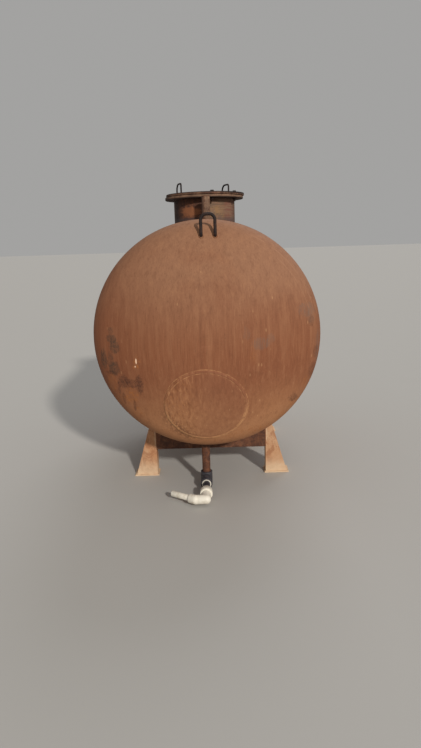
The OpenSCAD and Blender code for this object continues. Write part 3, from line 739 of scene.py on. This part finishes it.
# Paths for beads, each a row of places with the way that the bead faces there
def roundAngles(radius, fewest=3):
    count = max(fewest, int(2 * math.pi * radius / beadMake["step"]))
    return [2 * math.pi * k / count for k in range(count)]


def around(radius, y):
    for angle in roundAngles(radius):
        normal = Vector((math.cos(angle), 0.0, math.sin(angle)))
        yield Vector((0.0, y, axisZ)) + normal * radius, normal


def aroundTube(x, y, radius, up):  # where a round tube meets the shell, above or below the axis
    for angle in roundAngles(radius):
        out = Vector((math.cos(angle * up), math.sin(angle * up), 0.0))
        spot = Vector((x, y, 0.0)) + out * radius
        fall = math.sqrt(tankR ** 2 - spot.x ** 2)
        shellNormal = Vector((spot.x, 0.0, up * fall)).normalized()
        spot.z = axisZ + up * fall
        yield spot, (out + shellNormal).normalized()


def flatRing(x, y, z, radius, up):  # a corner between a round piece and a level face
    for angle in roundAngles(radius, 24):
        out = Vector((math.cos(angle * up), math.sin(angle * up), 0.0))
        yield Vector((x, y, z)) + out * radius, (out + Vector((0.0, 0.0, up))).normalized()


def straight(start, end, normal):
    steps = int((end - start).length / beadMake["step"])
    for k in range(steps + 1):
        yield start.lerp(end, k / steps), normal


weldSizes = dict(fillet=0.0150, filletRise=0.0062, flange=0.0130, flangeRise=0.0050, seam=0.0168,
                 seamRise=0.0030, girthOver=1.05)


def makeWelds(make):
    for end in ("front", "rear"):
        nodeName = end + "_girth_weld"
        middle, size = middleOf(nodeName)
        path = list(around(tankR, middle[1]))
        addBead(end + "GirthBead", path, size[1] * make["girthOver"], size[0] / 2 - tankR, (nodeName,))
    for tube, nodeName, up in (("manhole_neck", "neck_weld", 1), ("vent_pipe", "vent_weld", 1),
                               ("drain_stub", "drain_weld", -1)):
        middle, size = middleOf(tube)
        path = list(aroundTube(middle[0], middle[1], size[1] / 2, up))
        addBead(nodeName.split("_")[0] + "Bead", path, make["fillet"], make["filletRise"], (nodeName,))
    middle, size = middleOf("long_seam_weld")
    normal = Vector((middle[0], 0.0, middle[2] - axisZ)).normalized()
    ends = [Vector((0.0, middle[1] + side * size[1] / 2, axisZ)) + normal * tankR for side in (-1, 1)]
    path = list(straight(*ends, normal))
    addBead("longSeamBead", path, make["seam"], make["seamRise"], ("long_seam_weld",), closed=False)
    middle, size = middleOf("manhole_flange")
    neckWide = middleOf("manhole_neck")[1][0]
    path = list(flatRing(0.0, 0.0, middle[2] - size[2] / 2, neckWide / 2, -1))
    # The bead under the flange takes the flange's look, painted shade at its foot included
    addBead("flangeBead", path, make["flange"], make["flangeRise"], look=ownLooks["manhole_flange"])


makeWelds(weldSizes)


# The patch's bead follows a circle on the dished end's crown, from the plate's top down to the end
def patchPath(make):
    right = Vector((0.0, 0.0, 1.0)).cross(patchAxis).normalized()
    above = patchAxis.cross(right)
    for angle in roundAngles(make["radius"]):
        spoke = right * math.cos(angle) + above * math.sin(angle)
        normal = patchAxis * math.cos(patchHalf) + spoke * math.sin(patchHalf)
        yield crownMiddle + normal * crownR, normal


addBead("patchBead", list(patchPath(patchMake)), patchMake["width"], patchMake["rise"], ("patch_weld",),
        look=lappedLook, ramp=patchMake["plate"])
print("stage: welds made")


def ringMesh(rings):  # a skin over rings of points, closed at both ends
    sides = len(rings[0])
    points = [p for ring in rings for p in ring]
    faces = []
    for i in range(len(rings) - 1):
        for k in range(sides):
            a, b = i * sides + k, i * sides + (k + 1) % sides
            faces.append((a, b, b + sides, a + sides))
    faces.append(tuple(reversed(range(sides))))
    faces.append(tuple((len(rings) - 1) * sides + k for k in range(sides)))
    return points, faces


# Bent rods: a round section carried along a path, with the slight unevenness of hand-bent bar
rodMake = dict(sides=18, step=0.004, bendSteps=10, uneven=0.012, thickBy=0.3, thickBack=0.2)


def sweep(path, radius):
    angles = [2 * math.pi * k / rodMake["sides"] for k in range(rodMake["sides"])]
    rings = []
    side = None
    thick = 1.0
    for i, spot in enumerate(path):
        along = (path[min(i + 1, len(path) - 1)] - path[max(i - 1, 0)]).normalized()
        side = along.orthogonal() if side is None else side - along * side.dot(along)
        side.normalize()
        other = along.cross(side)
        push = random.uniform(-1.0, 1.0) * rodMake["uneven"]
        thick += push * rodMake["thickBy"] - (thick - 1.0) * rodMake["thickBack"]
        outward = [side * math.cos(angle) + other * math.sin(angle) for angle in angles]
        rings.append([spot + out * radius * min(thick, 1.0) for out in outward])
    return ringMesh(rings)


def bentPath(corners, *bends):  # straight runs joined by arcs, one at each corner on the way
    path = [corners[0]]
    for before, corner, after, bendR in zip(corners, corners[1:], corners[2:], bends):
        come = (corner - before).normalized()
        leave = (after - corner).normalized()
        turn = come.angle(leave)
        cut = bendR * math.tan(turn / 2)
        start = corner - come * cut
        inward = (leave - come * come.dot(leave)).normalized()
        centre = start + inward * bendR
        for k in range(rodMake["bendSteps"] + 1):
            angle = turn * k / rodMake["bendSteps"]
            path.append(centre - inward * bendR * math.cos(angle) + come * bendR * math.sin(angle))
    path.append(corners[-1])
    full = []
    for a, b in zip(path, path[1:]):
        pieces = max(1, int((b - a).length / rodMake["step"]))
        full += [a.lerp(b, k / pieces) for k in range(pieces)]
    return full + [path[-1]]


# Lifting hooks: the feet turn in to the dished end and are welded all round
hookMake = dict(rod=0.020, bend=0.034, toe=0.022, stand=0.010, footDown=0.110, toeIn=0.014,
                weldWay=(0.0, 0.85, -0.53), weldIn=0.0115, weldUp=0.0035, weldSteps=30, setBack=0.05,
                weldWidth=0.0140, weldRise=0.0060)


def onCrown(spot, way):  # where a line meets the dished end's crown
    off = spot - crownMiddle
    half = off.dot(way)
    return spot + way * (-half - math.sqrt(half * half - off.dot(off) + crownR * crownR))


def makeHook(end, sign):
    make = hookMake
    nodeName = "lifting_hook_" + end
    low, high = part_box(nodeName)
    r = make["rod"] / 2
    footZ = axisZ + tankR - make["footDown"]
    frontY = low[1] + r if sign > 0 else -(high[1] - r)
    flip = Matrix.Rotation(0.0 if sign > 0 else math.pi, 3, "Z")
    middleX, half = (low[0] + high[0]) / 2 * sign, (high[0] - low[0]) / 2
    left, right, top = middleX - half + r, middleX + half - r, high[2] - r
    inside = frontY + make["stand"] + make["toeIn"]
    corners = [Vector(c) for c in ((left, inside, footZ), (left, frontY, footZ), (left, frontY, top),
                                   (right, frontY, top), (right, frontY, footZ), (right, inside, footZ))]
    points, faces = sweep(bentPath(corners, make["toe"], make["bend"], make["bend"], make["toe"]), r)
    addPiece(end + "Hook", [flip @ p for p in points], faces, rodLook, (nodeName,))
    way = Vector(make["weldWay"]).normalized()  # how the bent toe runs into the crown
    across = Vector((1.0, 0.0, 0.0))
    other = way.cross(across)
    for name, x in (("Left", left), ("Right", right)):
        entry = Vector((x, frontY + make["weldIn"], footZ + make["weldUp"]))
        ring = []
        for k in range(make["weldSteps"]):
            angle = -2 * math.pi * k / make["weldSteps"]
            out = across * math.cos(angle) + other * math.sin(angle)
            spot = onCrown(entry + out * r - way * make["setBack"], way)
            ring.append((flip @ spot, flip @ (out + (spot - crownMiddle).normalized()).normalized()))
        addBead(end + "HookBead" + name, ring, make["weldWidth"], make["weldRise"])


makeHook("front", 1)
makeHook("rear", -1)


# Lid handles: a bent rod each, turned a little from the tank's axis, with a small weld at both feet
gripMake = dict(rod=0.012, length=0.120, nearBend=0.016, farBend=0.046, leftTurn=20.0, rightTurn=25.0,
                weldWidth=0.0090, weldRise=0.0036)


def makeGrip(side, turn):
    make = gripMake
    nodeName = "lid_handle_" + side
    low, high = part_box(nodeName)
    r = make["rod"] / 2
    along = Vector((-math.sin(math.radians(turn)), math.cos(math.radians(turn)), 0.0))
    foot = Vector(((low[0] + high[0]) / 2, (low[1] + high[1]) / 2, low[2]))
    reach = along * (make["length"] / 2 - r)
    rise = Vector((0.0, 0.0, high[2] - low[2] - r))
    path = bentPath([foot - reach, foot - reach + rise, foot + reach + rise, foot + reach],
                    make["nearBend"], make["farBend"])
    points, faces = sweep(path, r)
    addPiece(side + "Grip", points, faces, rodLook, (nodeName,))
    for name, sign in (("Near", -1), ("Far", 1)):
        spot = foot + reach * sign
        ring = list(flatRing(*spot, r, 1))
        addBead(side + "GripBead" + name, ring, make["weldWidth"], make["weldRise"],
                look=ownLooks["manhole_lid"])


makeGrip("left", gripMake["leftTurn"])
makeGrip("right", gripMake["rightTurn"])
print("stage: hooks and handles made")


# Lid bolts: chamfered hexagon heads and nuts, washers, and a thread that shows below the nut
boltMake = dict(shank=0.016, corners=0.027, washer=0.031, washerThick=0.0025, head=0.010, nut=0.013,
                pitch=0.002, threadDeep=0.0009, chamfer=0.0006, slope=0.6, footShare=0.97, topShare=0.94,
                lift=0.0002, tipIn=0.0022, tipLong=0.0012, tail=0.001, soften=0.0003, sides=36)
boltAngles = [2 * math.pi * k / boltMake["sides"] for k in range(boltMake["sides"])]
boltFlat = boltMake["corners"] / 2 * math.cos(math.pi / 6)


def roundRing(x, y, z, radius):
    return [Vector((x + radius * math.cos(angle), y + radius * math.sin(angle), z)) for angle in boltAngles]


def hexRing(x, y, z, turn, drop):  # drop is how steeply it falls from its flats to its corners
    ring = []
    for angle in boltAngles:
        radius = boltFlat / math.cos((angle + math.pi / 6) % (math.pi / 3) - math.pi / 6)
        ring.append(Vector((x + radius * math.cos(angle + turn), y + radius * math.sin(angle + turn),
                            z - (radius - boltFlat) * drop)))
    return ring


def makeBolt(nodeName):
    make = boltMake
    low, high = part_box(nodeName)
    x, y = (low[0] + high[0]) / 2, (low[1] + high[1]) / 2
    lidTop = high[2] - make["head"]
    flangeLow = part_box("manhole_flange")[0][2]
    chamfer, slope, washerR, shankR = make["chamfer"], make["slope"], make["washer"] / 2, make["shank"] / 2
    footR, topR = boltFlat * make["footShare"], boltFlat * make["topShare"]
    parts = []
    z = lidTop + make["washerThick"]
    parts.append([roundRing(x, y, lidTop, washerR), roundRing(x, y, z, washerR)])
    turn = random.uniform(0.0, 1.0)
    parts.append([roundRing(x, y, z, footR), hexRing(x, y, z + make["lift"], turn, 0.0),
                  hexRing(x, y, high[2] - chamfer, turn, slope), roundRing(x, y, high[2], topR)])
    z = flangeLow - make["washerThick"]
    parts.append([roundRing(x, y, z, washerR), roundRing(x, y, flangeLow, washerR)])
    turn = random.uniform(0.0, 1.0)
    nutLow = flangeLow - make["nut"]
    parts.append([roundRing(x, y, nutLow, topR), hexRing(x, y, nutLow + chamfer, turn, -slope),
                  hexRing(x, y, z - chamfer, turn, slope), roundRing(x, y, z, topR)])
    thread = [roundRing(x, y, low[2], shankR - make["tipIn"])]
    z = low[2] + make["tipLong"]
    while z < nutLow + make["pitch"]:
        thread.append(roundRing(x, y, z, shankR))
        thread.append(roundRing(x, y, z + make["pitch"] / 2, shankR - make["threadDeep"]))
        z += make["pitch"]
    thread.append(roundRing(x, y, lidTop + make["tail"], shankR - make["threadDeep"]))
    parts.append(thread)
    points, faces = [], []
    for rings in parts:
        some, theirs = ringMesh(rings)
        faces += [tuple(k + len(points) for k in face) for face in theirs]
        points += some
    piece = addPiece("bolt" + nodeName[-1], points, faces, rodLook, (nodeName,),
                     smooth=False)
    roundEdges(piece, make["soften"], 1, 40)


for k in range(1, 5):
    makeBolt("lid_bolt_%d" % k)
print("stage: bolts made")


# Saddle welds: the cradle against its wear plate, the wear plate's rim, and the beam against the legs
saddleMake = dict(plate=0.010, pad=0.008, legIn=0.404, overLeg=0.070, shy=0.004, beamLow=0.205,
                  width=0.0110, rise=0.0045, padShare=0.85, beamWidth=0.0080, beamRise=0.0018)


def arcPath(radius, y, fromAngle, toAngle, lean):  # an arc round the tank's axis, angles from straight down
    count = int(abs(toAngle - fromAngle) * radius / beadMake["step"])
    for k in range(count + 1):
        angle = fromAngle + (toAngle - fromAngle) * k / count
        out = Vector((math.sin(angle), 0.0, -math.cos(angle)))
        yield Vector((0.0, y, axisZ)) + out * radius, (out + lean).normalized()


def makeSaddleWelds(end, sign):
    make = saddleMake
    padLow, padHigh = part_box(end + "_wear_plate")
    legLow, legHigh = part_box(end + "_left_leg")
    cradleR = tankR + make["pad"]
    face = legLow[1] if sign > 0 else legHigh[1]
    out = Vector((0.0, -sign, 0.0))
    edge = math.asin((make["legIn"] + make["overLeg"]) / cradleR)
    path = list(arcPath(cradleR, face, -edge, edge, out))
    addBead(end + "CradleBead", path, make["width"], make["rise"], closed=False)
    edge = math.asin((make["legIn"] - make["shy"]) / cradleR)
    path = list(arcPath(cradleR, face + sign * make["plate"], -edge, edge, -out))
    addBead(end + "CradleBackBead", path, make["width"], make["rise"], closed=False)
    half = math.asin((padHigh[0] - padLow[0]) / 2 / cradleR)
    padWidth, padRise = make["width"] * make["padShare"], make["rise"] * make["padShare"]
    for name, y, way in (("Front", padLow[1], -1.0), ("Back", padHigh[1], 1.0)):
        path = list(arcPath(tankR, y, -half, half, Vector((0.0, way, 0.0))))
        addBead(end + "PadBead" + name, path, padWidth, padRise, closed=False)
    for name, angle in (("Left", -half), ("Right", half)):
        radial = Vector((math.sin(angle), 0.0, -math.cos(angle)))
        beside = Vector((math.cos(angle), 0.0, math.sin(angle))) * (1 if angle > 0 else -1)
        corners = [Vector((0.0, y, axisZ)) + radial * tankR for y in (padLow[1], padHigh[1])]
        path = list(straight(*corners, (radial + beside).normalized()))
        addBead(end + "PadBead" + name, path, padWidth, padRise, closed=False)
    top = axisZ - math.sqrt(cradleR ** 2 - make["legIn"] ** 2)
    for name, hand in (("Left", -1), ("Right", 1)):
        corners = [Vector((hand * make["legIn"], face, z)) for z in (make["beamLow"], top)]
        path = list(straight(*corners, out))
        addBead(end + "BeamBead" + name, path, make["beamWidth"], make["beamRise"], closed=False)


makeSaddleWelds("front", 1)
makeSaddleWelds("rear", -1)
print("stage: saddle welds made")


# Floor, daylight and lamps: a lamp's bearing is measured from the front, and its height from level
stageMake = dict(floor=rgb(182, 180, 176), floorShade=rgb(174, 172, 168), floorSize=240.0,
                 sky=rgb(240, 239, 237), skyStrength=0.42, lampAway=8.0)
suns = dict(
    keySun=dict(bearing=24.0, height=25.5, strength=2.40, softness=3.5, colour=(1.0, 0.95, 0.88)),
    backSun=dict(bearing=165.0, height=40.0, strength=0.75, softness=30.0, colour=(0.96, 0.97, 1.0)),
)


def makeStage(make):
    size = make["floorSize"] / 2
    mesh = bpy.data.meshes.new("floor")
    corners = [(-size, -size, 0), (size, -size, 0), (size, size, 0), (-size, size, 0)]
    mesh.from_pydata(corners, [], [(0, 1, 2, 3)])
    look = Look("paleFloor")
    soft = look.noise(3.0, 4.0, 0.5)
    mesh.materials.append(look.finish(look.mix(soft * 0.15, make["floor"], make["floorShade"]), 0.9))
    floor = bpy.data.objects.new("floor", mesh)
    bpy.context.collection.objects.link(floor)
    world = bpy.data.worlds.new("softSky")
    bpy.context.scene.world = world
    world.use_nodes = True
    background = world.node_tree.nodes["Background"]
    background.inputs["Color"].default_value = make["sky"]
    background.inputs["Strength"].default_value = make["skyStrength"]


def addSun(name, make):
    data = bpy.data.lights.new(name, "SUN")
    data.energy = make["strength"]
    data.angle = math.radians(make["softness"])
    data.color = make["colour"]
    lamp = bpy.data.objects.new(name, data)
    across, up = math.radians(make["bearing"]), math.radians(make["height"])
    source = Vector((math.sin(across) * math.cos(up), -math.cos(across) * math.cos(up), math.sin(up)))
    lamp.location = source * stageMake["lampAway"]
    lamp.rotation_euler = source.to_track_quat("Z", "Y").to_euler()
    bpy.context.collection.objects.link(lamp)


makeStage(stageMake)
for sunName, sunMake in suns.items():
    addSun(sunName, sunMake)
print("stage: lights and floor made")
